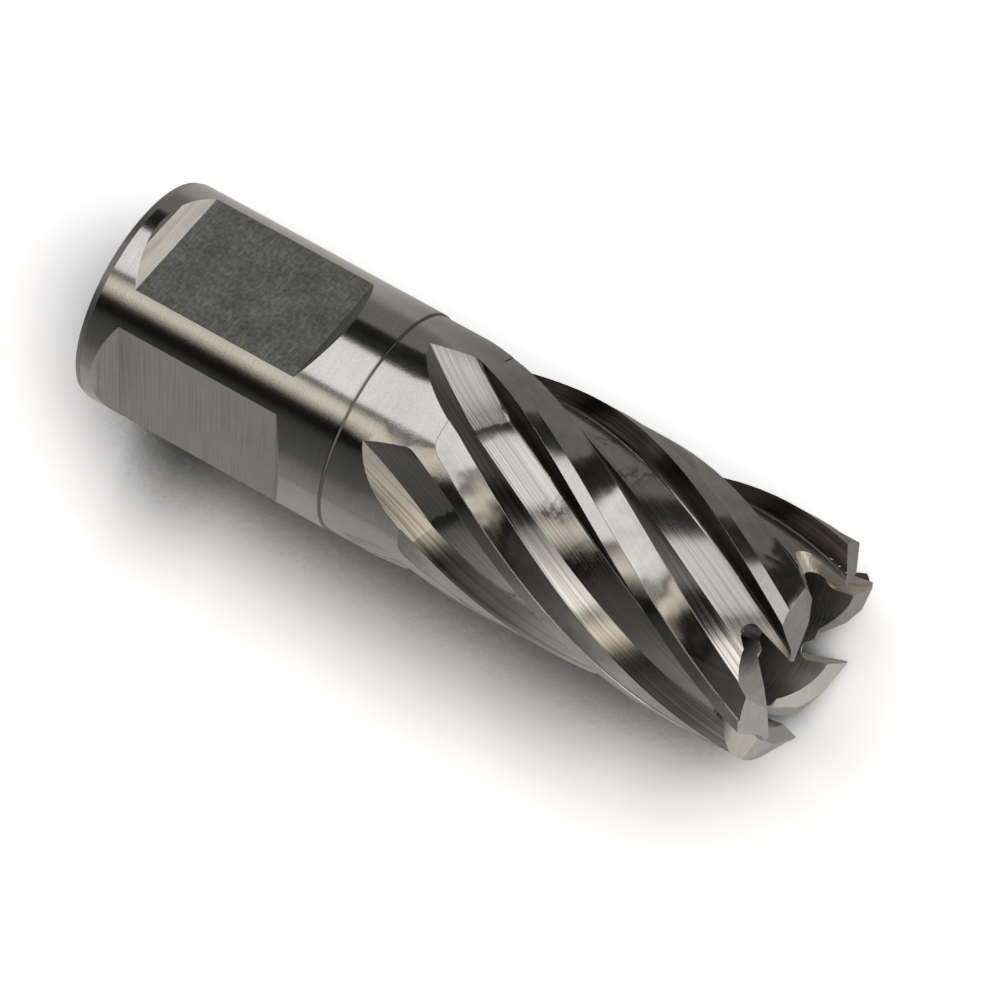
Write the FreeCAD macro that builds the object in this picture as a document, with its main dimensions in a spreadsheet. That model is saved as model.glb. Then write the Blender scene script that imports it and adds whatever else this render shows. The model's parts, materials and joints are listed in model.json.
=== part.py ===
import FreeCAD
import Part
import math
import os

import Sketcher

# Annular cutter: a hollow milling cutter, turned, fluted and ground from one bar of
# high-speed steel. The plain shank has two drive flats and a bore for a pilot pin, and
# the cup beyond it has helical flutes, relieved lands and roof-shaped teeth.
# The axis is X. The rear face of the shank is at x = 0 and the teeth point towards +X.
# Angles about the axis run from +Y towards +Z, as the flutes turn on their way forward.
# Lengths are in millimetres and angles in degrees.

doc = FreeCAD.newDocument("annular_cutter")

# Driving dimensions
sheet = doc.addObject("Spreadsheet::Sheet", "Sizes")
sizes = [
    # Shank
    ("shank_diameter", 19.05),
    ("shank_length", 23.0),
    ("rear_chamfer_length", 0.56),
    ("rear_chamfer_depth", 0.18),
    ("pilot_diameter", 6.4),
    ("step_chamfer", 0.12),
    # Drive flats
    ("flat_distance", 7.77),
    ("flat_start", 3.0),
    ("flat_length", 14.7),
    ("flat_bevel_angle", 50.0),
    ("flat_spacing_angle", 90.0),
    ("flat_count", 2),
    # Cup
    ("cutting_diameter", 19.0),
    ("back_taper", 0.12),
    ("overall_length", 62.35),
    ("slug_diameter", 12.8),
    ("slug_depth", 29.0),
    ("slug_cone_angle", 59.0),
    # Flutes and lands
    ("tooth_count", 6),
    ("edge_angle", 116.65),
    ("helix_angle", 30.0),
    ("land_angle", 21.9),
    ("margin_angle", 7.2),
    ("land_relief", 0.16),
    ("land_relief_setback", 7.1),
    ("land_corner_radius", 1.6),
    ("flute_depth", 1.65),
    ("rake_foot_angle", 4.6),
    ("back_wall_angle", 10.1),
    ("rake_foot_rise", 0.02),
    ("flute_foot_radius", 0.35),
    ("runout_setback", 9.9),
    ("runout_radius", 35.0),
    ("runout_angle", 32.0),
    # Tooth ends
    ("ridge_inset", 2.27),
    ("apex_lead", 1.73),
    ("outer_bevel_angle", 30.0),
    ("inner_bevel_angle", 46.0),
    ("end_relief_angle", 9.6),
    ("heel_relief_angle", 27.7),
    ("heel_start", 1.2),
    ("heel_drop", 0.14),
    ("heel_outward_drop", 7.0),
    # Gullets between the teeth
    ("gullet_angle", 18.0),
    ("gullet_depth", 3.55),
    ("gullet_tilt", 40.0),
    ("gullet_slope", 43.5),
    ("gullet_wall_lean", 16.7),
    ("gullet_foot_radius", 0.7),
    # Room that the cutting tools keep beyond the metal
    ("overcut", 1.5),
    # Turn about the axis in which it lies at rest, with its lighter, flatted side up
    ("rest_roll", -45.0),
]
for row, (alias, value) in enumerate(sizes, start=1):
    sheet.set("A%d" % row, alias)
    sheet.set("B%d" % row, str(value))
    sheet.setAlias("B%d" % row, alias)
doc.recompute()


def size(alias):
    return float(getattr(sheet, alias))


def tan(angle):
    return math.tan(math.radians(angle))


# The turned blank
def origin_plane(body, role):
    return [plane for plane in body.Origin.OriginFeatures if plane.Role == role][0]


def outline_sketch(body, name, corners):
    # A closed outline on the XZ plane, each corner held by two expressions
    sketch = body.newObject("Sketcher::SketchObject", name)
    sketch.AttachmentSupport = (origin_plane(body, "XZ_Plane"), [""])
    sketch.MapMode = "FlatFace"
    points = [FreeCAD.Vector(float(sheet.evalExpression(along)), float(sheet.evalExpression(out)), 0)
              for along, out in corners]
    for number, point in enumerate(points):
        following = points[(number + 1) % len(points)]
        sketch.addGeometry(Part.LineSegment(point, following), False)
    for number in range(len(points)):
        following = (number + 1) % len(points)
        sketch.addConstraint(Sketcher.Constraint("Coincident", number, 2, following, 1))
    for number, (along, out) in enumerate(corners):
        place = sketch.addConstraint(Sketcher.Constraint("DistanceX", -1, 1, number, 1, points[number].x))
        sketch.setExpression("Constraints[%d]" % place, along)
        place = sketch.addConstraint(Sketcher.Constraint("DistanceY", -1, 1, number, 1, points[number].y))
        sketch.setExpression("Constraints[%d]" % place, out)
    return sketch


blank = doc.addObject("PartDesign::Body", "blank")
blank.Label = "blank"
turning = outline_sketch(blank, "turning", [
    ("0", "Sizes.pilot_diameter / 2"),
    ("0", "Sizes.shank_diameter / 2 - Sizes.rear_chamfer_depth"),
    ("Sizes.rear_chamfer_length", "Sizes.shank_diameter / 2"),
    ("Sizes.shank_length - Sizes.step_chamfer", "Sizes.shank_diameter / 2"),
    ("Sizes.shank_length", "Sizes.cutting_diameter / 2 - Sizes.back_taper"),
    ("Sizes.overall_length + Sizes.overcut", "Sizes.cutting_diameter / 2"),
    ("Sizes.overall_length + Sizes.overcut", "Sizes.slug_diameter / 2"),
    ("Sizes.overall_length - Sizes.slug_depth", "Sizes.slug_diameter / 2"),
    ("Sizes.overall_length - Sizes.slug_depth - (Sizes.slug_diameter - Sizes.pilot_diameter) / 2"
     " / tan(Sizes.slug_cone_angle)", "Sizes.pilot_diameter / 2"),
])
turned = blank.newObject("PartDesign::Revolution", "turned")
turned.Profile = turning
turned.ReferenceAxis = (turning, ["H_Axis"])
turned.Angle = 360
doc.recompute()

# The drive flats: one milled across the top, and the same again round the shank
flat_bevel = "(Sizes.shank_diameter / 2 + Sizes.overcut - Sizes.flat_distance) / tan(Sizes.flat_bevel_angle)"
flat_end = "Sizes.flat_start + Sizes.flat_length"
flat_top = "Sizes.shank_diameter / 2 + Sizes.overcut"
milling = outline_sketch(blank, "milling", [
    ("Sizes.flat_start", "Sizes.flat_distance"),
    (flat_end, "Sizes.flat_distance"),
    (flat_end + " + " + flat_bevel, flat_top),
    ("Sizes.flat_start - " + flat_bevel, flat_top),
])
flat = blank.newObject("PartDesign::Pocket", "flat")
flat.Profile = milling
flat.Type = "ThroughAll"
flat.SideType = "Symmetric"
doc.recompute()
flats = blank.newObject("PartDesign::PolarPattern", "flats")
flats.Originals = [flat]
flats.Axis = (milling, ["H_Axis"])
flats.Mode = "Spacing"
flats.setExpression("Offset", "Sizes.flat_spacing_angle")
flats.setExpression("Occurrences", "Sizes.flat_count")
blank.Tip = flats
doc.recompute()

# Values that the teeth and flutes share
forward = FreeCAD.Vector(1, 0, 0)
tooth_count = int(size("tooth_count"))
tooth_pitch = 360.0 / tooth_count
cut_radius = size("cutting_diameter") / 2
slug_radius = size("slug_diameter") / 2
floor_radius = cut_radius - size("flute_depth")
outside = cut_radius + size("overcut")
front = size("overall_length") + size("overcut")
ridge_radius = cut_radius - size("ridge_inset")
ridge_rise = size("ridge_inset") * tan(size("outer_bevel_angle"))
apex_rise = size("apex_lead") * tan(size("end_relief_angle"))
edge_corner = size("overall_length") - ridge_rise - apex_rise
lead = math.pi * size("cutting_diameter") / tan(size("helix_angle"))


def radial(angle):
    turn = math.radians(angle)
    return FreeCAD.Vector(0, math.cos(turn), math.sin(turn))


def tangent(angle):
    return radial(angle + 90)


def edge_angle_at(along):
    # Where round the axis the first tooth's cutting edge is, at this distance along it
    return size("edge_angle") + 360.0 * (along - edge_corner) / lead


def rounded_corner(before, corner, after, radius):
    # The two ends and the middle of an arc that rounds one corner of an outline
    back = (before - corner).normalize()
    ahead = (after - corner).normalize()
    half = back.getAngle(ahead) / 2
    reach = radius / math.tan(half)
    middle = (back + ahead).normalize()
    depth = radius / math.sin(half) - radius
    return corner + back * reach, corner + middle * depth, corner + ahead * reach


def outline_with_round(points, rounded, radius):
    # A closed wire through the points, with an arc at one of them
    start, middle, end = rounded_corner(points[rounded - 1], points[rounded], points[rounded + 1], radius)
    path = [end] + points[rounded + 1:] + points[:rounded] + [start]
    edges = [Part.LineSegment(one, two).toShape() for one, two in zip(path, path[1:])]
    edges.append(Part.Arc(start, middle, end).toShape())
    return Part.Wire(Part.__sortEdges__(edges))


def helix_path(radius, along, angle, end):
    # A right-handed helix about the axis that starts at this place
    path = Part.makeHelix(lead, end - along, radius)
    turn = FreeCAD.Rotation(radial(angle), tangent(angle), forward, "ZXY")
    path.Placement = FreeCAD.Placement(forward * along, turn)
    return Part.Wire(path.Edges)


def round_the_axis(tool):
    # One tool for each tooth
    copies = []
    for number in range(tooth_count):
        copy = tool.copy()
        copy.rotate(FreeCAD.Vector(0, 0, 0), forward, number * tooth_pitch)
        copies.append(copy)
    return copies


def grind(base, name, tools):
    # The base less each of the tools in turn
    for number, tool in enumerate(tools, start=1):
        wheel = doc.addObject("Part::Feature", "%s_tool_%d" % (name, number))
        wheel.Label = wheel.Name
        wheel.Shape = tool
        ground = doc.addObject("Part::Cut", "%s_%d" % (name, number))
        ground.Label = ground.Name
        ground.Base = base
        ground.Tool = wheel
        base = ground
    return base


# Flutes: one profile square to the grinding wheel's plane, swept forward past the teeth,
# and swung back and out about the wheel's axis where the wheel leaves the metal
runout = size("shank_length") + size("runout_setback")
flute_angle = tooth_pitch - size("land_angle")
floor_end_angle = flute_angle - size("back_wall_angle")
middle_angle = (size("rake_foot_angle") + floor_end_angle) / 2
profile_angle = edge_angle_at(runout) + middle_angle
wheel_slope = math.radians(size("runout_angle"))
out = radial(profile_angle)
along_groove = forward * math.cos(wheel_slope) + tangent(profile_angle) * math.sin(wheel_slope)
across_groove = tangent(profile_angle) * math.cos(wheel_slope) - forward * math.sin(wheel_slope)


def crossing(radius, angle):
    # Where the helix at this radius and angle from the edge meets the plane of the profile
    behind = math.radians(angle - middle_angle)
    turned = behind
    for step in range(20):
        turned = behind - 2 * math.pi * radius * math.sin(turned) * math.tan(wheel_slope) / lead
    travel = -radius * math.sin(turned) * math.tan(wheel_slope)
    direction = radial(profile_angle + math.degrees(turned))
    return forward * (runout + travel) + direction * radius


def carried_out(inner, outer):
    # The wall from inner to outer, carried on until it is clear of the metal
    share = (outside + size("overcut") - inner.dot(out)) / (outer - inner).dot(out)
    return inner + (outer - inner) * share


rake_foot = crossing(floor_radius + size("rake_foot_rise"), size("rake_foot_angle"))
rake_edge = crossing(cut_radius, 0)
back_foot = crossing(floor_radius, floor_end_angle)
back_edge = crossing(cut_radius, flute_angle)
flute_profile = outline_with_round(
    [carried_out(rake_foot, rake_edge), rake_foot, back_foot, carried_out(back_foot, back_edge)],
    1, size("flute_foot_radius"))
flute_path = helix_path(floor_radius, runout, profile_angle, front)
flute = flute_path.makePipeShell([flute_profile], True, True)
wheel_centre = forward * runout + out * (floor_radius + size("runout_radius"))
wheel_turn = 2 * math.degrees(math.acos(1 - size("flute_depth") / size("runout_radius")))
swing = Part.Face(flute_profile).revolve(wheel_centre, across_groove, -wheel_turn)
flutes = round_the_axis(flute.fuse(swing))

# Lands: a shallow relief behind the narrow margin of each tooth, with a blunt end
relief_start = size("shank_length") + size("land_relief_setback")
relief_radius = cut_radius - size("land_relief")
core = Part.makeCylinder(relief_radius, front, forward * (relief_start - size("overcut")), forward)
margin_side = edge_angle_at(relief_start) - size("margin_angle")
heel_side = edge_angle_at(relief_start) - size("land_angle") - size("back_wall_angle") / 2
relief_profile = Part.makePolygon([
    forward * relief_start + radial(turn) * distance
    for turn, distance in [(margin_side, floor_radius), (margin_side, outside + 1), (heel_side, outside + 1),
                           (heel_side, floor_radius), (margin_side, floor_radius)]])
relief_path = helix_path(cut_radius, relief_start, margin_side, front)
relief = relief_path.makePipeShell([relief_profile], True, True)


def corner_edge(shape):
    # The edge where the blunt end meets the margin side
    place = forward * relief_start + radial(margin_side) * cut_radius
    return min(shape.Edges, key=lambda edge: edge.CenterOfMass.distanceToPoint(place))


relief = relief.makeFillet(size("land_corner_radius"), [corner_edge(relief)])
reliefs = round_the_axis(relief.cut(core))

# Tooth ends: a sector of the ring's end, less the roof of one tooth. The roof has an outer
# and an inner bevel that meet in a ridge, and drops faster behind the cutting edge
edge_out = radial(size("edge_angle"))
edge_side = tangent(size("edge_angle"))
ridge_line = forward * (edge_corner + ridge_rise) + edge_out * ridge_radius
heel_line = ridge_line - edge_side * size("heel_start") - forward * size("heel_drop")


def sector(start, end):
    # The space of one tooth, from the axis outwards, between two places along it
    first = size("edge_angle") + size("gullet_angle") - tooth_pitch
    corners = [forward * start]
    for share in (0, 0.5, 1):
        corners.append(forward * start + radial(first + share * tooth_pitch) * 2 * outside)
    face = Part.Face(Part.makePolygon(corners + corners[:1]))
    return face.extrude(forward * (end - start))


def under_plane(shape, place, out_slope, side_slope):
    # What is left of the shape behind a plane with these slopes outwards and sideways
    normal = forward - edge_out * out_slope - edge_side * side_slope
    block = Part.makeBox(8 * outside, 8 * outside, 8 * outside)
    block.translate(FreeCAD.Vector(-4 * outside, -4 * outside, -8 * outside))
    block.Placement = FreeCAD.Placement(place, FreeCAD.Rotation(FreeCAD.Vector(0, 0, 1), normal)) * block.Placement
    return shape.common(block)


mid_wall = (cut_radius + slug_radius) / 2 - size("ridge_inset") / 3
end_low = size("overall_length") - size("gullet_depth") + (mid_wall - slug_radius) * tan(size("gullet_tilt"))
roof = sector(end_low - size("overcut"), front + size("overcut"))
roof = under_plane(roof, ridge_line, -tan(size("outer_bevel_angle")), tan(size("end_relief_angle")))
roof = under_plane(roof, ridge_line, tan(size("inner_bevel_angle")), tan(size("end_relief_angle")))
roof = under_plane(roof, heel_line, -tan(size("heel_outward_drop")), tan(size("heel_relief_angle")))
tooth_end = sector(end_low, front + size("overcut")).cut(roof)
end_copies = round_the_axis(tooth_end)
ends = [end_copies[0].fuse(end_copies[1:])]

# Gullets: a slot ahead of each tooth that slopes outwards and back into the flute, with
# a steep wall under the cutting edge and a long slope up to the heel of the next tooth
gullet_out = radial(size("edge_angle") + size("gullet_angle"))
gullet_side = tangent(size("edge_angle") + size("gullet_angle"))
slot_way = gullet_out - forward * tan(size("gullet_tilt"))
apex = ridge_line + edge_side * size("apex_lead") + forward * apex_rise
apex_place = apex - slot_way * (apex.dot(gullet_out) - mid_wall)


def gullet_point(side, height):
    return gullet_out * mid_wall + gullet_side * side + forward * height


apex_side = apex_place.dot(gullet_side)
apex_height = apex_place.x
slope_height = size("overall_length") - size("gullet_depth")
slope_rise = tan(size("gullet_slope"))
wall_run = tan(size("gullet_wall_lean"))
foot_side = (apex_side + wall_run * (slope_height - apex_height)) / (1 - wall_run * slope_rise)
foot_height = slope_height + slope_rise * foot_side
top_height = front + 4 * size("overcut")
gullet_profile = outline_with_round(
    [gullet_point(apex_side + wall_run * (top_height - apex_height), top_height),
     gullet_point(foot_side, foot_height),
     gullet_point((top_height - slope_height) / slope_rise, top_height)],
    1, size("gullet_foot_radius"))
inner_reach = mid_wall - slug_radius / 2
gullet_face = Part.Face(gullet_profile)
gullet_face.translate(slot_way * -inner_reach)
gullet = gullet_face.extrude(slot_way * (inner_reach + outside - mid_wall))
gullets = round_the_axis(gullet)

# The finished cutter: the blank less everything that is ground away
cutter = blank
for name, tools in [("relieved", reliefs), ("fluted", flutes), ("ended", ends), ("gulleted", gullets)]:
    cutter = grind(cutter, name, tools)
cutter.Label = "annular_cutter"
cutter.Placement = FreeCAD.Placement(FreeCAD.Vector(0, 0, 0), FreeCAD.Rotation(forward, size("rest_roll")))
doc.recompute()

for item in doc.Objects:
    if "Invalid" in item.State or "Error" in item.State:
        raise RuntimeError(item.Label + " failed: " + ", ".join(item.State))
if cutter.Shape.isNull() or not cutter.Shape.isValid():
    raise RuntimeError("the cutter's shape is not valid")
if len(cutter.Shape.Solids) != 1:
    raise RuntimeError("the cutter is not one solid: %d" % len(cutter.Shape.Solids))

os.makedirs("parts", exist_ok=True)
cutter.Shape.exportStep("parts/" + cutter.Label + ".step")
print("length %.2f mm, volume %.0f cubic mm, %d faces"
      % (cutter.Shape.optimalBoundingBox().XLength, cutter.Shape.Volume, len(cutter.Shape.Faces)))
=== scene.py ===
import json
import math

import bpy
from mathutils import Matrix, Vector

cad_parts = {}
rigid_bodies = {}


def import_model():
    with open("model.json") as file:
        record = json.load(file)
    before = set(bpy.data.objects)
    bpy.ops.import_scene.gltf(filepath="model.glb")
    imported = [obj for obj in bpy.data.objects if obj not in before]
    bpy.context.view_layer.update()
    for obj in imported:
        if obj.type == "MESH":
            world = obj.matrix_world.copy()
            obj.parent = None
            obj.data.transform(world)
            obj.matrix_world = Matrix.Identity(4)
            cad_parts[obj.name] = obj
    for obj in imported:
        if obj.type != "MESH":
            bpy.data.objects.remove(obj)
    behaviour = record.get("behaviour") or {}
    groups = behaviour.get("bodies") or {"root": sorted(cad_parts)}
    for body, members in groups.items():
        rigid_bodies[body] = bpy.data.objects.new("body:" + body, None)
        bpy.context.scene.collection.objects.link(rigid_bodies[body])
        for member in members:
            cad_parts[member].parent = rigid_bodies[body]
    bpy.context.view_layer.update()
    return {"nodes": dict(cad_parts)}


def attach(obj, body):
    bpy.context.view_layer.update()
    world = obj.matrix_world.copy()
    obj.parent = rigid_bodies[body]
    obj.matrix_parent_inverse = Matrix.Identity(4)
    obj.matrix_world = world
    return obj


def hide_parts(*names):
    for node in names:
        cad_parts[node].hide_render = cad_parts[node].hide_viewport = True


# The annular cutter lies on a pale floor, its axis along X and its teeth towards +X
for leftover in list(bpy.data.objects):
    bpy.data.objects.remove(leftover)
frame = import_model()
print("frame loaded")

mm = 0.001
scene = bpy.context.scene


# Camera, as in the photograph: above the cutter and a little in front of its teeth
camera = {
    "place": (0.17923, 0.09789, 0.45751),
    "up": (-0.4618, 0.8858, -0.0448),
    "back": (0.2966, 0.2018, 0.9334),
    "lens": 229.4,
    "sensor": 36.0,
    "nearest": 0.02, "furthest": 20.0,
}


def addCamera(look):
    back = Vector(look["back"]).normalized()
    right = Vector(look["up"]).cross(back).normalized()
    up = back.cross(right)
    data = bpy.data.cameras.new("camera")
    data.lens = look["lens"]
    data.sensor_width = look["sensor"]
    data.clip_start = look["nearest"]
    data.clip_end = look["furthest"]
    data.dof.use_dof = False
    holder = bpy.data.objects.new("camera", data)
    turned = Matrix((right, up, back)).transposed().to_4x4()
    holder.matrix_world = Matrix.Translation(look["place"]) @ turned
    scene.collection.objects.link(holder)
    scene.camera = holder


addCamera(camera)
scene.view_settings.view_transform = "Standard"
print("camera placed")


# Small helpers for shader nodes
def newMaterial(name):
    material = bpy.data.materials.new(name)
    material.use_nodes = True
    tree = material.node_tree
    tree.nodes.clear()
    output = tree.nodes.new("ShaderNodeOutputMaterial")
    return material, tree, output


def addNode(tree, kind, **settings):
    node = tree.nodes.new("ShaderNode" + kind)
    for name, value in settings.items():
        setattr(node, name, value)
    return node


def plug(tree, source, socket):
    # A value for the socket, or a link from another node's output
    if isinstance(source, bpy.types.NodeSocket):
        tree.links.new(source, socket)
    else:
        socket.default_value = source


def fullColour(colour):
    # A colour or a grey as the four numbers that a socket takes
    return (*colour, 1) if isinstance(colour, tuple) else (colour, colour, colour, 1)


def mathNode(tree, operation, first, second=0.0, clamp=False):
    node = addNode(tree, "Math", operation=operation, use_clamp=clamp)
    plug(tree, first, node.inputs[0])
    plug(tree, second, node.inputs[1])
    return node.outputs[0]


def splitNode(tree, source):
    # The X, Y and Z of a place or a direction
    node = addNode(tree, "SeparateXYZ")
    plug(tree, source, node.inputs[0])
    return node.outputs


def rampNode(tree, factor, stops):
    node = addNode(tree, "ValToRGB")
    while len(node.color_ramp.elements) < len(stops):
        node.color_ramp.elements.new(0.5)
    for element, (place, colour) in zip(node.color_ramp.elements, stops):
        element.position = place
        element.color = fullColour(colour)
    plug(tree, factor, node.inputs[0])
    return node.outputs[0]


def twoTones(tree, factor, span, dark, light):
    return rampNode(tree, factor, [(span[0], dark), (span[1], light)])


def mixColours(tree, factor, first, second, blend="MIX"):
    # The node has sockets for numbers and vectors too: its colours are 6, 7 and, coming out, 2
    node = addNode(tree, "Mix", data_type="RGBA", blend_type=blend)
    plug(tree, factor, node.inputs[0])
    plug(tree, first, node.inputs[6])
    plug(tree, second, node.inputs[7])
    return node.outputs[2]


def dimmed(tree, colour, share):
    return mixColours(tree, 1.0, colour, share, "MULTIPLY")


def spreadNode(tree, value, source, target, smooth=False):
    # The value from one range carried over to another, held at its ends
    node = addNode(tree, "MapRange", interpolation_type="SMOOTHSTEP" if smooth else "LINEAR")
    plug(tree, value, node.inputs["Value"])
    node.inputs["From Min"].default_value, node.inputs["From Max"].default_value = source
    node.inputs["To Min"].default_value, node.inputs["To Max"].default_value = target
    return node.outputs[0]


# Where a point is on the cutter: lengths in millimetres, angles in degrees
cutter = {
    "radius": 9.5,
    "lead": 103.386,         # the helix turns once in this length
    "length": 62.35,
    "teeth": 6,
    "slugRadius": 6.4,
    "shankLength": 23.0,
    "chamfer": 0.6,
    "outerRadius": 9.3,      # shank, margins and lands are all further out than this
    "reliefRadius": 9.345,
    "floorRadius": 7.85,
    "edgeTurn": 40.12,       # one cutting edge, carried back along its helix to the rear face
    "landMiddle": 14.55,     # from the cutting edge back to the middle of the relieved land
    "endDepth": 3.4,
    "gulletDepth": 6.5,
    "gulletTurn": 29.65,     # the middle of one gullet
    "gulletTilt": 40.0,      # how far its bottom runs back on the way out
    "gulletSlope": 43.5,     # how steep its long side is
    "heelTurn": 11.65,       # the heel of one tooth end
    "heelDrop": 7.0,         # how it falls off outwards
    "heelRelief": 27.7,      # and behind the cutting edge
    "runout": 32.9,          # where the helix of a flute starts, on a slanted plane
    "runoutTurn": 50.98,     # round this turn
    "runoutSlope": 32.0,
}
toothPitch = 360 / cutter["teeth"]


def cutterPlace(tree):
    source = addNode(tree, "TexCoord")
    point = source.outputs["Object"]
    x, y, z = splitNode(tree, point)
    along = mathNode(tree, "MULTIPLY", x, 1 / mm)
    turn = mathNode(tree, "ARCTAN2", z, y)
    degrees = mathNode(tree, "DEGREES", turn)
    around = mathNode(tree, "MULTIPLY", turn, cutter["radius"])
    twist = mathNode(tree, "MULTIPLY", along, 2 * math.pi * cutter["radius"] / cutter["lead"])
    across = mathNode(tree, "SUBTRACT", around, twist)
    # Degrees back from the nearest cutting edge ahead
    helix = mathNode(tree, "MULTIPLY", along, 360 / cutter["lead"])
    unwound = mathNode(tree, "SUBTRACT", degrees, helix)
    lag = mathNode(tree, "SUBTRACT", cutter["edgeTurn"], unwound)
    behind = mathNode(tree, "FLOORED_MODULO", lag, toothPitch)
    # Millimetres forward from the slanted plane where the helix of a flute starts
    half = toothPitch / 2
    off = mathNode(tree, "SUBTRACT", degrees, cutter["runoutTurn"] - half)
    off = mathNode(tree, "SUBTRACT", mathNode(tree, "FLOORED_MODULO", off, toothPitch), half)
    slope = math.radians(cutter["runoutSlope"])
    past = mathNode(tree, "SUBTRACT", along, cutter["runout"])
    past = mathNode(tree, "MULTIPLY", past, math.cos(slope))
    aside = mathNode(tree, "MULTIPLY", off, math.radians(cutter["floorRadius"]) * math.sin(slope))
    past = mathNode(tree, "ADD", past, aside)
    # How far the surface faces outwards, and towards the next cutting edge ahead
    facing = splitNode(tree, source.outputs["Normal"])
    cosine = mathNode(tree, "COSINE", turn)
    sine = mathNode(tree, "SINE", turn)
    outward = mathNode(tree, "ADD", mathNode(tree, "MULTIPLY", facing[1], cosine),
                       mathNode(tree, "MULTIPLY", facing[2], sine))
    ahead = mathNode(tree, "SUBTRACT", mathNode(tree, "MULTIPLY", facing[2], cosine),
                     mathNode(tree, "MULTIPLY", facing[1], sine))
    radius = mathNode(tree, "ADD", mathNode(tree, "MULTIPLY", y, cosine),
                      mathNode(tree, "MULTIPLY", z, sine))
    radius = mathNode(tree, "MULTIPLY", radius, 1 / mm)
    return {
        "point": point, "radius": radius, "along": along, "around": around, "across": across,
        "behind": behind, "past": past, "degrees": degrees, "outward": outward, "ahead": ahead,
    }


# Noise stays mostly near 0.5: each span says which of its values count as lowest and highest
texture = {
    "roughness": 0.6,
    "plainSpan": (0.3, 0.7),
    "cloudSpan": (0.35, 0.65),
    "scratchSpan": (0.58, 0.80),
    "fluteSpan": (0.34, 0.62),
    "fleckSpan": (0.46, 0.58),
    "bumpHeight": 0.02 * mm,
    "edgeSamples": 4,
}


def grain(tree, point, scale, detail=4.0):
    noise = addNode(tree, "TexNoise")
    noise.inputs["Scale"].default_value = scale
    noise.inputs["Detail"].default_value = detail
    noise.inputs["Roughness"].default_value = texture["roughness"]
    plug(tree, point, noise.inputs["Vector"])
    return noise.outputs[0]


def streaks(tree, fine, coarse, fineScale, coarseScale, detail):
    # Noise that is drawn out into lines: close together one way and long the other
    place = addNode(tree, "CombineXYZ")
    plug(tree, mathNode(tree, "MULTIPLY", fine, fineScale), place.inputs[0])
    plug(tree, mathNode(tree, "MULTIPLY", coarse, coarseScale), place.inputs[1])
    return grain(tree, place.outputs[0], 1.0, detail)


def bumpNode(tree, height, strength, normal):
    node = addNode(tree, "Bump")
    node.inputs["Strength"].default_value = strength
    node.inputs["Distance"].default_value = texture["bumpHeight"]
    plug(tree, height, node.inputs["Height"])
    plug(tree, normal, node.inputs["Normal"])
    return node.outputs[0]


def edgeNormal(tree, radius):
    node = addNode(tree, "Bevel", samples=texture["edgeSamples"])
    node.inputs["Radius"].default_value = radius * mm
    return node.outputs[0]


def rolledNormal(tree, normal, degrees):
    # The normal turned about the cutter's axis
    inside = addNode(tree, "VectorTransform", vector_type="NORMAL",
                     convert_from="WORLD", convert_to="OBJECT")
    plug(tree, normal, inside.inputs[0])
    roll = addNode(tree, "VectorRotate", rotation_type="X_AXIS")
    plug(tree, inside.outputs[0], roll.inputs["Vector"])
    plug(tree, mathNode(tree, "RADIANS", degrees), roll.inputs["Angle"])
    outside = addNode(tree, "VectorTransform", vector_type="NORMAL",
                      convert_from="OBJECT", convert_to="WORLD")
    plug(tree, roll.outputs[0], outside.inputs[0])
    return outside.outputs[0]


# What a finish has unless it says otherwise
plainFinish = {
    "metal": 1.0,
    "anisotropy": 0.0, "anisotropyTurn": 0.25,
    "cloudScale": 220.0, "cloudDark": 0.88,
    "cloudShare": 0.5,       # how far the clouds set the roughness, and not the lines
    "speckle": 0.0, "speckleScale": 7000.0, "speckleDepth": 0.02,
    "edgeRound": 0.06,       # in millimetres, as the light sees the edges
}


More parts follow.
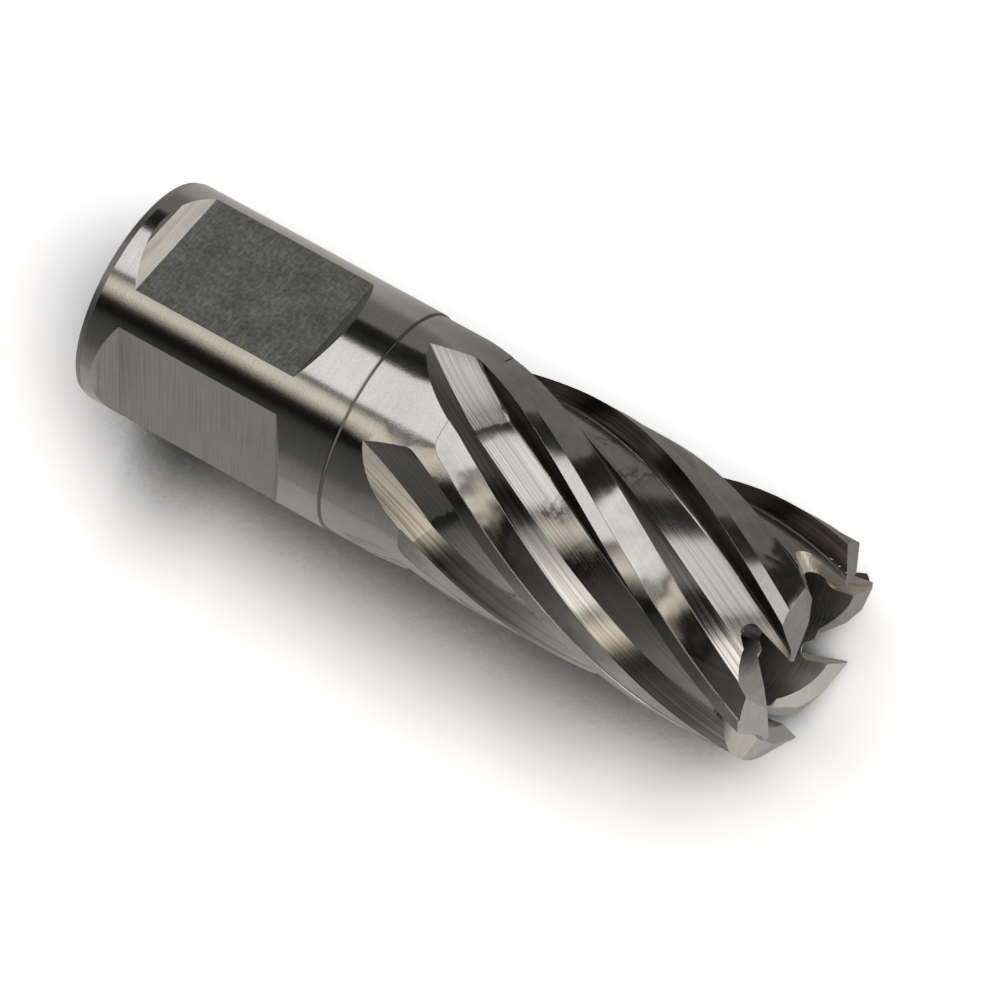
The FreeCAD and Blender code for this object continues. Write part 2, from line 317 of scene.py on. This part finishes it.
def steel(name, ownFinish):
    # A ground steel surface, with lines that run round the axis or along the flutes
    finish = {**plainFinish, **ownFinish}
    material, tree, output = newMaterial(name)
    place = cutterPlace(tree)
    shader = addNode(tree, "BsdfPrincipled")
    shader.inputs["Metallic"].default_value = finish["metal"]
    shader.inputs["Anisotropic"].default_value = finish["anisotropy"]
    shader.inputs["Anisotropic Rotation"].default_value = finish["anisotropyTurn"]
    fine, coarse = {
        "round": (place["along"], place["around"]),
        "flutes": (place["across"], place["along"]),
    }[finish["lines"]]
    plain = texture["plainSpan"]
    lines = streaks(tree, fine, coarse, finish["lineDensity"], finish["lineLength"], detail=4.0)
    cloud = grain(tree, place["point"], finish["cloudScale"])
    tone = twoTones(tree, lines, plain, finish["darkColour"], finish["lightColour"])
    tone = dimmed(tree, tone, twoTones(tree, cloud, texture["cloudSpan"], finish["cloudDark"], 1.0))
    speckle = grain(tree, place["point"], finish["speckleScale"], detail=1.0)
    if finish["speckle"]:
        tone = dimmed(tree, tone, twoTones(tree, speckle, plain, 1 - finish["speckle"], 1.0))
    if "scratch" in finish:
        scratch = streaks(tree, fine, coarse, finish["scratchDensity"], finish["scratchLength"],
                          detail=1.0)
        share = spreadNode(tree, scratch, texture["scratchSpan"], (0.0, 1.0))
        tone = mixColours(tree, share, tone, fullColour(finish["scratch"]))
    if "inner" in finish:
        # Painted shade in the deep inside: two places along the axis, between which its dark colour
        # fades out
        *fade, inner = finish["inner"]
        share = spreadNode(tree, place["along"], fade, (0.0, 1.0), smooth=True)
        tone = mixColours(tree, share, fullColour(inner), tone)
    for key, amount in (("paintedShadeTurn", "degrees"), ("paintedShadeAlong", "along")):
        if key in finish:
            # Painted shade: the colour is darkened from one turn or one place along the axis to
            # another
            *fade, dull = finish[key]
            shade = spreadNode(tree, place[amount], fade, (1.0, dull), smooth=True)
            tone = dimmed(tree, tone, shade)
    if "paintedStepShade" in finish:
        # Painted shade: a dark line round the axis at the step where the shank ends: where along it,
        # the half widths that it fades between, its tone
        middle, *fade, dull = finish["paintedStepShade"]
        off = mathNode(tree, "ABSOLUTE", mathNode(tree, "SUBTRACT", place["along"], middle))
        tone = dimmed(tree, tone, spreadNode(tree, off, fade, (dull, 1.0), smooth=True))
    plug(tree, tone, shader.inputs["Base Color"])
    mixed = mixColours(tree, finish["cloudShare"], lines, cloud)
    plug(tree, spreadNode(tree, mixed, plain, finish["roughness"]), shader.inputs["Roughness"])
    normal = edgeNormal(tree, finish["edgeRound"])
    if "flatness" in finish:
        # The land is ground flat across, so its normal turns less than the round it was cut from
        lag = mathNode(tree, "SUBTRACT", place["behind"], cutter["landMiddle"])
        roll = mathNode(tree, "MULTIPLY", lag, finish["flatness"])
        lean, sway = finish["lean"], finish["sway"]
        swayed = spreadNode(tree, grain(tree, place["point"], finish["swayScale"], detail=2.0),
                            plain, (lean - sway, lean + sway))
        normal = rolledNormal(tree, normal, mathNode(tree, "ADD", roll, swayed))
    normal = bumpNode(tree, speckle, finish["speckleDepth"], normal)
    normal = bumpNode(tree, lines, finish["lineDepth"], normal)
    plug(tree, normal, shader.inputs["Normal"])
    if finish["anisotropy"]:
        way = addNode(tree, "Tangent", direction_type="RADIAL", axis="X")
        plug(tree, way.outputs[0], shader.inputs["Tangent"])
    plug(tree, shader.outputs[0], output.inputs[0])
    return material


# Each finish: lines per millimetre, how soon they change along their run and how deep they look,
# and the darkest and the lightest of its colours. Roughness goes from smooth to rough
finishes = {
    "shankGround": {
        "lines": "round", "lineDensity": 9.0, "lineLength": 0.12, "lineDepth": 0.07,
        "darkColour": (0.40, 0.39, 0.372), "lightColour": (0.46, 0.45, 0.43),
        "roughness": (0.12, 0.18), "anisotropy": 0.5, "speckle": 0.12, "speckleDepth": 0.12,
        # Painted shade: a dark line round the axis at the step where the shank ends
        "paintedStepShade": (22.92, 0.05, 0.20, 0.40),
    },
    "chamferTurned": {
        "lines": "round", "lineDensity": 9.0, "lineLength": 0.12, "lineDepth": 0.1,
        "darkColour": (0.22, 0.217, 0.21), "lightColour": (0.36, 0.355, 0.343),
        "roughness": (0.3, 0.4),
    },
    "flatEtched": {
        "lines": "round", "lineDensity": 5.0, "lineLength": 1.2, "lineDepth": 0.2,
        "darkColour": (0.222, 0.228, 0.212), "lightColour": (0.32, 0.326, 0.304),
        "roughness": (0.42, 0.55), "cloudScale": 450.0, "cloudDark": 0.82,
        "speckle": 0.36, "speckleScale": 3000.0, "speckleDepth": 0.3,
        "scratch": (0.33, 0.327, 0.305), "scratchDensity": 4.0, "scratchLength": 0.75,
    },
    "bevelEtched": {
        "lines": "round", "lineDensity": 5.0, "lineLength": 1.2, "lineDepth": 0.2,
        "darkColour": (0.24, 0.244, 0.228), "lightColour": (0.345, 0.35, 0.33),
        "roughness": (0.45, 0.55), "speckle": 0.3, "speckleScale": 4200.0,
    },
    "flatMilled": {
        "lines": "round", "lineDensity": 8.0, "lineLength": 0.12, "lineDepth": 0.2,
        "darkColour": (0.30, 0.297, 0.286), "lightColour": (0.45, 0.444, 0.427),
        "roughness": (0.34, 0.44), "speckle": 0.12,
    },
    # bevelMilled: partly painted highlight: its pale cream colour, with little metal, stands in for
    # the light that the bevel catches, over milled steel
    "bevelMilled": {
        "lines": "round", "lineDensity": 3.5, "lineLength": 0.15, "lineDepth": 0.3,
        "darkColour": (0.62, 0.59, 0.53), "lightColour": (0.93, 0.90, 0.84), "metal": 0.35,
        "roughness": (0.4, 0.5), "speckle": 0.12,
    },
    # landMargin: painted shade darkens the margins towards the teeth
    "landMargin": {
        "lines": "round", "lineDensity": 7.0, "lineLength": 0.15, "lineDepth": 0.05,
        "darkColour": (0.40, 0.39, 0.375), "lightColour": (0.47, 0.46, 0.445),
        "roughness": (0.12, 0.18), "speckle": 0.1, "paintedShadeAlong": (47.0, 57.0, 0.72),
    },
    "landPolished": {
        "lines": "flutes", "lineDensity": 5.0, "lineLength": 0.1, "lineDepth": 0.04,
        "darkColour": (0.38, 0.365, 0.345), "lightColour": (0.46, 0.445, 0.42),
        "roughness": (0.12, 0.2), "cloudScale": 350.0, "cloudDark": 0.75,
        "flatness": 0.75, "lean": -5.0, "sway": 4.0, "swayScale": 260.0,
    },
    "endGround": {
        "lines": "round", "lineDensity": 8.0, "lineLength": 0.4, "lineDepth": 0.15,
        "darkColour": (0.50, 0.495, 0.475), "lightColour": (0.59, 0.585, 0.565),
        "roughness": (0.34, 0.42),
    },
    "heelGround": {
        "lines": "round", "lineDensity": 8.0, "lineLength": 0.4, "lineDepth": 0.15,
        "darkColour": (0.52, 0.515, 0.49), "lightColour": (0.62, 0.61, 0.585),
        "roughness": (0.3, 0.36),
    },
    # gulletGround: painted shade darkens the gullets from 45 to 75 degrees round the axis and beyond
    "gulletGround": {
        "lines": "flutes", "lineDensity": 6.0, "lineLength": 0.3, "lineDepth": 0.1,
        "darkColour": (0.44, 0.395, 0.33), "lightColour": (0.84, 0.78, 0.67),
        "roughness": (0.2, 0.3), "metal": 0.4, "paintedShadeTurn": (45.0, 75.0, 0.12),
    },
    # gulletSlope: painted shade darkens its deep end
    "gulletSlope": {
        "lines": "round", "lineDensity": 8.0, "lineLength": 0.4, "lineDepth": 0.15,
        "darkColour": (0.56, 0.55, 0.51), "lightColour": (0.68, 0.665, 0.625),
        "roughness": (0.26, 0.34), "inner": (58.1, 59.7, (0.05, 0.045, 0.04)),
    },
    # boreDrilled: painted shade darkens the bore towards the rear
    "boreDrilled": {
        "lines": "round", "lineDensity": 5.0, "lineLength": 0.1, "lineDepth": 0.12,
        "darkColour": (0.62, 0.61, 0.58), "lightColour": (0.88, 0.87, 0.83),
        "roughness": (0.24, 0.34), "inner": (52.0, 59.5, (0.02, 0.02, 0.02)),
    },
}


# The flutes: a bright streaked floor, a rake face painted near black as shade, and a back wall in
# between
flute = {
    "floorDark": (0.25, 0.242, 0.232), "floorLight": (0.43, 0.42, 0.405),
    # Painted shade: the rake face's near-black colours stand in for the shade on it
    "rakeDark": (0.028, 0.024, 0.022), "rakeLight": (0.085, 0.073, 0.066),
    "backDark": (0.24, 0.22, 0.195), "backLight": (0.60, 0.575, 0.53),
    "floorRoughness": (0.12, 0.24), "rakeRoughness": (0.16, 0.28), "backRoughness": (0.14, 0.24),
    "lineDensity": 6.0, "lineLength": 0.04, "lineDepth": 0.22,
    "cloudScale": 300.0, "cloudShare": 0.4, "edgeRound": 0.05,
    "floorFacing": (0.74, 0.9),          # how far the floor faces outwards
    "rakeFacing": (-0.08, 0.08),         # and a rake face towards the next cutting edge ahead
    # The run-out is greyer, with a dark ragged band where the helix starts, and a patch of dark
    # speckle lies further on: all in millimetres past the start of the helix
    "ragged": 0.5,
    "runoutTone": 0.85, "runoutEnd": (-0.35, 0.55),
    "bandTone": 0.25, "bandStart": (-0.6, -0.35), "bandEnd": (0.05, 1.15),
    "mottle": 0.75, "mottleStart": (6.8, 7.6), "mottleEnd": (8.2, 10.2),
    "fleckScale": 1500.0, "fleckColour": (0.10, 0.093, 0.088),
    # Painted shade: the floor is darkened near the teeth
    "paintedFrontShade": 0.8, "frontAlong": (47.0, 57.0),    # the floor is duller near the teeth
    # The back wall is a little hollow, so it mirrors what is higher up, and painted shade darkens it
    # on the upper side of the cutter, except near the teeth
    "backRoll": 9.0,
    "backShade": 0.33, "paintedShadeTurn": (90.0, 115.0), "paintedShadeAlong": (46.0, 53.0),
    # Nearer the axis than the floor, the wall is a gullet's and lighter, and painted shade darkens
    # it from 45 to 75 degrees round the axis and beyond
    "insideDark": (0.50, 0.455, 0.385), "insideLight": (0.78, 0.72, 0.62),
    "insideRadius": (7.45, 7.8), "insideMetal": 0.25, "insideRough": 0.38,
    "insideTurn": (45.0, 75.0), "insideShade": 0.12,
}


def fluteSteel(name, look):
    material, tree, output = newMaterial(name)
    place = cutterPlace(tree)
    shader = addNode(tree, "BsdfPrincipled")
    lines = streaks(tree, place["across"], place["along"], look["lineDensity"], look["lineLength"],
                    detail=5.0)
    cloud = grain(tree, place["point"], look["cloudScale"])
    mixed = mixColours(tree, look["cloudShare"], lines, cloud)
    tones = {}
    rough = {}
    for part in ("floor", "rake", "back", "inside"):
        tones[part] = twoTones(tree, lines, texture["fluteSpan"],
                               look[part + "Dark"], look[part + "Light"])
    for part in ("floor", "rake", "back"):
        rough[part] = spreadNode(tree, mixed, texture["plainSpan"], look[part + "Roughness"])
    isFloor = spreadNode(tree, place["outward"], look["floorFacing"], (0.0, 1.0), smooth=True)
    isRake = spreadNode(tree, place["ahead"], look["rakeFacing"], (0.0, 1.0))
    isInside = spreadNode(tree, place["radius"], look["insideRadius"], (1.0, 0.0), smooth=True)

    # The floor's run-out and the band where the helix starts
    ragged = spreadNode(tree, cloud, texture["plainSpan"], (-look["ragged"], look["ragged"]))
    past = mathNode(tree, "ADD", place["past"], ragged)
    before = spreadNode(tree, past, look["runoutEnd"], (look["runoutTone"], 1.0))
    bandStart = spreadNode(tree, past, look["bandStart"], (0.0, 1.0), smooth=True)
    bandEnd = spreadNode(tree, past, look["bandEnd"], (1.0, 0.0), smooth=True)
    band = mathNode(tree, "MULTIPLY", bandStart, bandEnd)
    band = mathNode(tree, "MULTIPLY", band, 1 - look["bandTone"])
    lightness = mathNode(tree, "MULTIPLY", before, mathNode(tree, "SUBTRACT", 1.0, band))
    grey = addNode(tree, "CombineColor")
    for socket in grey.inputs:
        plug(tree, lightness, socket)
    floorTone = dimmed(tree, tones["floor"], grey.outputs[0])

    # The floor further on: its front darkened by painted shade, and the patch of speckle
    toFront = spreadNode(tree, place["along"], look["frontAlong"], (1.0, look["paintedFrontShade"]),
                         smooth=True)
    floorTone = dimmed(tree, floorTone, toFront)
    mottleStart = spreadNode(tree, past, look["mottleStart"], (0.0, look["mottle"]))
    mottleEnd = spreadNode(tree, past, look["mottleEnd"], (1.0, 0.0))
    fleck = spreadNode(tree, grain(tree, place["point"], look["fleckScale"], detail=3.0),
                       texture["fleckSpan"], (0.0, 1.0))
    patch = mathNode(tree, "MULTIPLY", mathNode(tree, "MULTIPLY", mottleStart, mottleEnd), fleck)
    floorTone = mixColours(tree, patch, floorTone, fullColour(look["fleckColour"]))

    # The back wall, the rake face and what lies inside them, with their painted shade
    below = spreadNode(tree, place["degrees"], look["paintedShadeTurn"], (look["backShade"], 1.0),
                       smooth=True)
    front = spreadNode(tree, place["along"], look["paintedShadeAlong"], (look["backShade"], 1.0),
                       smooth=True)
    backTone = dimmed(tree, tones["back"], mathNode(tree, "MAXIMUM", below, front))
    wallTone = mixColours(tree, isRake, backTone, tones["rake"])
    dim = spreadNode(tree, place["degrees"], look["insideTurn"], (1.0, look["insideShade"]),
                     smooth=True)
    wallTone = mixColours(tree, isInside, wallTone, dimmed(tree, tones["inside"], dim))
    wallRough = mixColours(tree, isRake, rough["back"], rough["rake"])
    wallRough = mixColours(tree, isInside, wallRough, fullColour(look["insideRough"]))

    plug(tree, mixColours(tree, isFloor, wallTone, floorTone), shader.inputs["Base Color"])
    plug(tree, mixColours(tree, isFloor, wallRough, rough["floor"]), shader.inputs["Roughness"])
    metal = spreadNode(tree, isInside, (0.0, 1.0), (1.0, look["insideMetal"]))
    plug(tree, metal, shader.inputs["Metallic"])
    isBack = mathNode(tree, "MULTIPLY", mathNode(tree, "SUBTRACT", 1.0, isFloor),
                      mathNode(tree, "SUBTRACT", 1.0, isRake))
    roll = mathNode(tree, "MULTIPLY", isBack, look["backRoll"])
    normal = rolledNormal(tree, edgeNormal(tree, look["edgeRound"]), roll)
    plug(tree, bumpNode(tree, lines, look["lineDepth"], normal), shader.inputs["Normal"])
    plug(tree, shader.outputs[0], output.inputs[0])
    return material


# What tells the faces of the cutter apart: shares of a unit normal, and lengths in millimetres
tells = {
    "boreInward": -0.2,      # the bore faces the axis
    "boreSlack": 0.05,
    "chamferRearward": -0.1,
    "flatAside": 0.01,       # a drive flat and its bevels don't lean sideways
    "flatUpward": 0.6,
    "flatHeight": 9.2,
    "bevelTilt": 0.1,
    "landOutward": 0.95,
    "landSlack": 0.01,
    "landMargin": 3.0,       # the lands start this far before the helix does
    "teethForward": -0.35,
    "slopeMatch": 0.999,
    "heelMatch": 0.9995,
    "endForward": 0.5,
    "gulletRadius": 8.2,     # a gullet's bottom is truer outside this radius
    "gulletInner": 0.08,
    "gulletOuter": 0.015,
}


def radialWay(degrees):
    turn = math.radians(degrees)
    return Vector((0, math.cos(turn), math.sin(turn)))


def leaningWay(degrees, outward, backward):
    # Towards the teeth, leaning outwards and back round the axis
    out = radialWay(degrees) * math.tan(math.radians(outward))
    back = radialWay(degrees + 90) * math.tan(math.radians(backward))
    return (Vector((1, 0, 0)) + out - back).normalized()


# Along each gullet, square to its long slope, and square to the heel of each tooth end
gulletTurns = [cutter["gulletTurn"] + tooth * toothPitch for tooth in range(cutter["teeth"])]
heelTurns = [cutter["heelTurn"] + tooth * toothPitch for tooth in range(cutter["teeth"])]
gulletBack = Vector((math.tan(math.radians(cutter["gulletTilt"])), 0, 0))
gulletWays = [radialWay(turn) - gulletBack for turn in gulletTurns]
slopeWays = [leaningWay(turn, cutter["gulletTilt"], cutter["gulletSlope"]) for turn in gulletTurns]
heelWays = [leaningWay(turn, cutter["heelDrop"], cutter["heelRelief"]) for turn in heelTurns]


def shankFinish(centre, normal):
    if centre.x / mm < cutter["chamfer"] and normal.x < tells["chamferRearward"]:
        return "chamferTurned"
    for flat, side in (("flatEtched", 1), ("flatMilled", -1)):
        way = Vector((0, side, 1)).normalized()
        sideways = Vector((0, -side, 1)).normalized()
        level = abs(normal.dot(sideways)) < tells["flatAside"]
        low = centre.dot(way) / mm < tells["flatHeight"]
        if level and low and normal.dot(way) > tells["flatUpward"]:
            if flat == "flatEtched" and abs(normal.x) > tells["bevelTilt"]:
                return "bevelMilled" if normal.x > 0 else "bevelEtched"
            return flat
    return "shankGround"


def teethFinish(centre, normal, radius):
    if any(normal.dot(way) > tells["slopeMatch"] for way in slopeWays):
        return "gulletSlope"
    if centre.x / mm > cutter["length"] - cutter["endDepth"] and normal.x > tells["endForward"]:
        isHeel = any(normal.dot(way) > tells["heelMatch"] for way in heelWays)
        return "heelGround" if isHeel else "endGround"
    slack = tells["gulletInner"] if radius < tells["gulletRadius"] else tells["gulletOuter"]
    for way in gulletWays:
        if abs(normal.dot(way)) < slack and centre.dot(Vector((0, way.y, way.z))) > 0:
            return "gulletGround"
    return "fluteGround"


# Which finish a face has, from where it is and how it faces
def finishOf(face, points):
    centre, normal = face.center, face.normal
    along = centre.x / mm
    radius = math.hypot(centre.y, centre.z) / mm
    nearest = min(math.hypot(point.y, point.z) for point in points) / mm
    facingOut = normal.dot(Vector((0, centre.y, centre.z)).normalized())
    if radius < cutter["slugRadius"] + tells["boreSlack"] and facingOut < tells["boreInward"]:
        return "boreDrilled"
    if along < cutter["shankLength"]:
        return shankFinish(centre, normal)
    if nearest > cutter["outerRadius"] and facingOut > tells["landOutward"]:
        isRelief = radius < cutter["reliefRadius"] + tells["landSlack"]
        if isRelief and along > cutter["runout"] - tells["landMargin"]:
            return "landPolished"
        return "landMargin" if along > cutter["runout"] else "shankGround"
    if along > cutter["length"] - cutter["gulletDepth"] and normal.x > tells["teethForward"]:
        return teethFinish(centre, normal, radius)
    return "fluteGround"


def dressCutter():
    bare = frame["nodes"]["annular_cutter"]
    mesh = bare.data.copy()
    piece = bpy.data.objects.new("cutterBody", mesh)
    scene.collection.objects.link(piece)
    mesh.materials.clear()
    for name in finishes:
        mesh.materials.append(steel(name, finishes[name]))
    mesh.materials.append(fluteSteel("fluteGround", flute))
    order = list(finishes) + ["fluteGround"]
    for face in mesh.polygons:
        points = [mesh.vertices[corner].co for corner in face.vertices]
        face.material_index = order.index(finishOf(face, points))
    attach(piece, "root")
    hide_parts("annular_cutter")


dressCutter()
print("cutter dressed")


# The floor, which the camera sees as near white with the cutter's shadow on it
floor = {
    "height": -9.525 * mm,
    "width": 6.0,
    "paperScale": 60.0, "paperDark": 0.985,
    # What the steel mirrors, with painted shade: the floor near the cutter, and a darker one further
    # off on the +Y side and beside the flutes there. Each change lies between two places, in metres
    "nearColour": 0.84,
    "farMirrorShade": 0.40, "farStart": (0.018, 0.036),
    "besideFlutesShade": 0.42, "flutesStart": (0.012, 0.026), "sideStart": (-0.005, 0.008),
    # What the camera sees. The shadow lies where the cutter hides the side that shadowWay points
    # to, and it is deeper at the cutter's ends: between which places along X, and how much
    "seenColour": (1.69, 1.708, 1.75),
    "shadowWay": (0.45, 0.78, 0.50),
    "shadowReach": 0.022,
    "shadowSamples": 10,
    "rearEnd": (0.001, 0.012, 0.13),
    "frontEnd": (0.046, 0.058, 0.06),
    "shadow": [
        (0.44, (0.04, 0.042, 0.045)), (0.51, (0.125, 0.128, 0.134)), (0.55, (0.40, 0.405, 0.418)),
        (0.59, (0.74, 0.745, 0.765)), (0.63, (0.895, 0.90, 0.92)), (0.70, (0.965, 0.97, 0.985)),
        (0.80, (1.0, 1.0, 1.0)),
    ],
}


def addFloor(look):
    half = look["width"] / 2
    mesh = bpy.data.meshes.new("floor")
    corners = [(-half, -half, 0), (half, -half, 0), (half, half, 0), (-half, half, 0)]
    mesh.from_pydata(corners, [], [(0, 1, 2, 3)])
    plane = bpy.data.objects.new("floor", mesh)
    plane.location.z = look["height"]
    scene.collection.objects.link(plane)
    material, tree, output = newMaterial("floorPaper")
    path = addNode(tree, "LightPath")
    point = addNode(tree, "TexCoord").outputs["Object"]
    x, y = splitNode(tree, point)[:2]

    # Painted shade: the floor's colour for all but camera rays darkens further off, and the steel
    # mirrors it
    far = spreadNode(tree, y, look["farStart"], (look["nearColour"], look["farMirrorShade"]),
                     smooth=True)
    beside = spreadNode(tree, x, look["flutesStart"], (look["nearColour"], look["besideFlutesShade"]),
                        smooth=True)
    awaySide = spreadNode(tree, y, look["sideStart"], (1.0, 0.0), smooth=True)
    mirrored = mixColours(tree, awaySide, mathNode(tree, "MINIMUM", far, beside), far)
    paper = twoTones(tree, grain(tree, point, look["paperScale"]), texture["plainSpan"],
                     look["paperDark"], 1.0)
    mirrored = dimmed(tree, paper, mirrored)

    hidden = addNode(tree, "AmbientOcclusion", samples=look["shadowSamples"])
    hidden.inputs["Distance"].default_value = look["shadowReach"]
    way = addNode(tree, "CombineXYZ")
    for socket, value in zip(way.inputs, Vector(look["shadowWay"]).normalized()):
        socket.default_value = value
    plug(tree, way.outputs[0], hidden.inputs["Normal"])
    *rearSpan, rearDepth = look["rearEnd"]
    *frontSpan, frontDepth = look["frontEnd"]
    rear = spreadNode(tree, x, rearSpan, (rearDepth, 0.0), smooth=True)
    front = spreadNode(tree, x, frontSpan, (0.0, frontDepth), smooth=True)
    clear = mathNode(tree, "SUBTRACT", hidden.outputs["AO"], mathNode(tree, "ADD", rear, front))
    seen = dimmed(tree, rampNode(tree, clear, look["shadow"]), fullColour(look["seenColour"]))

    shader = addNode(tree, "BsdfDiffuse")
    plug(tree, mixColours(tree, path.outputs["Is Camera Ray"], mirrored, seen), shader.inputs[0])
    plug(tree, shader.outputs[0], output.inputs[0])
    mesh.materials.append(material)


addFloor(floor)
print("floor laid")


# Studio light: a long soft box on the +Y side, and a dim room that the steel mirrors in bands
light = {
    "keyPlace": (0.45, 0.44, 0.54),
    "keyWidth": 1.9,
    "keyHeight": 0.6,
    "keyRadiance": 1.12,
    "roomStrength": 1.0,
    # Angle above the floor from the +Y side, in degrees, and the room's colour there
    "room": [
        (0, (0.04, 0.04, 0.04)),
        (6, (0.02, 0.02, 0.02)),
        (22, (0.03, 0.03, 0.03)),
        (30, (0.5, 0.5, 0.5)),
        (73, (0.6, 0.58, 0.56)),
        (77, (0.20, 0.19, 0.18)),
        (79, (0.30, 0.28, 0.25)),
        (84, (1.22, 1.14, 1.01)),
        (90, (1.52, 1.41, 1.24)),
        (95, (0.92, 0.84, 0.71)),
        (101, (0.05, 0.045, 0.04)),
        (104, (0.005, 0.005, 0.005)),
        (113, (0.01, 0.01, 0.01)),
        (119, (0.08, 0.08, 0.08)),
        (130, (0.12, 0.12, 0.12)),
        (150, (0.17, 0.17, 0.17)),
        (162, (0.32, 0.32, 0.31)),
        (180, (0.45, 0.45, 0.44)),
    ],
    # A pale wall beyond the teeth, which fades in between two shares of +X in the direction
    "wall": (0.80, 0.775, 0.72),
    "wallSpan": (0.55, 0.8),
}


def addLight(look):
    lamp = bpy.data.lights.new("softBox", "AREA")
    lamp.shape = "RECTANGLE"
    lamp.size = look["keyWidth"]
    lamp.size_y = look["keyHeight"]
    lamp.energy = look["keyRadiance"] * math.pi * look["keyWidth"] * look["keyHeight"]
    box = bpy.data.objects.new("softBox", lamp)
    place = Vector(look["keyPlace"])
    back = Vector((0, place.y, place.z)).normalized()
    right = Vector((1, 0, 0))
    up = back.cross(right)
    turned = Matrix((right, up, back)).transposed().to_4x4()
    box.matrix_world = Matrix.Translation(place) @ turned
    scene.collection.objects.link(box)

    world = bpy.data.worlds.new("room")
    scene.world = world
    world.use_nodes = True
    tree = world.node_tree
    tree.nodes.clear()
    output = addNode(tree, "OutputWorld")
    x, y, z = splitNode(tree, addNode(tree, "TexCoord").outputs["Generated"])
    angle = mathNode(tree, "ARCTAN2", z, y)
    share = mathNode(tree, "DIVIDE", angle, math.pi, clamp=True)
    bands = rampNode(tree, share, [(degrees / 180, colour) for degrees, colour in look["room"]])
    beyond = spreadNode(tree, x, look["wallSpan"], (0.0, 1.0), smooth=True)
    bands = mixColours(tree, beyond, bands, fullColour(look["wall"]))
    path = addNode(tree, "LightPath")
    shown = mixColours(tree, path.outputs["Is Camera Ray"], bands, fullColour(1.0))
    background = addNode(tree, "Background")
    plug(tree, shown, background.inputs[0])
    background.inputs[1].default_value = look["roomStrength"]
    plug(tree, background.outputs[0], output.inputs[0])


addLight(light)
print("lights set")
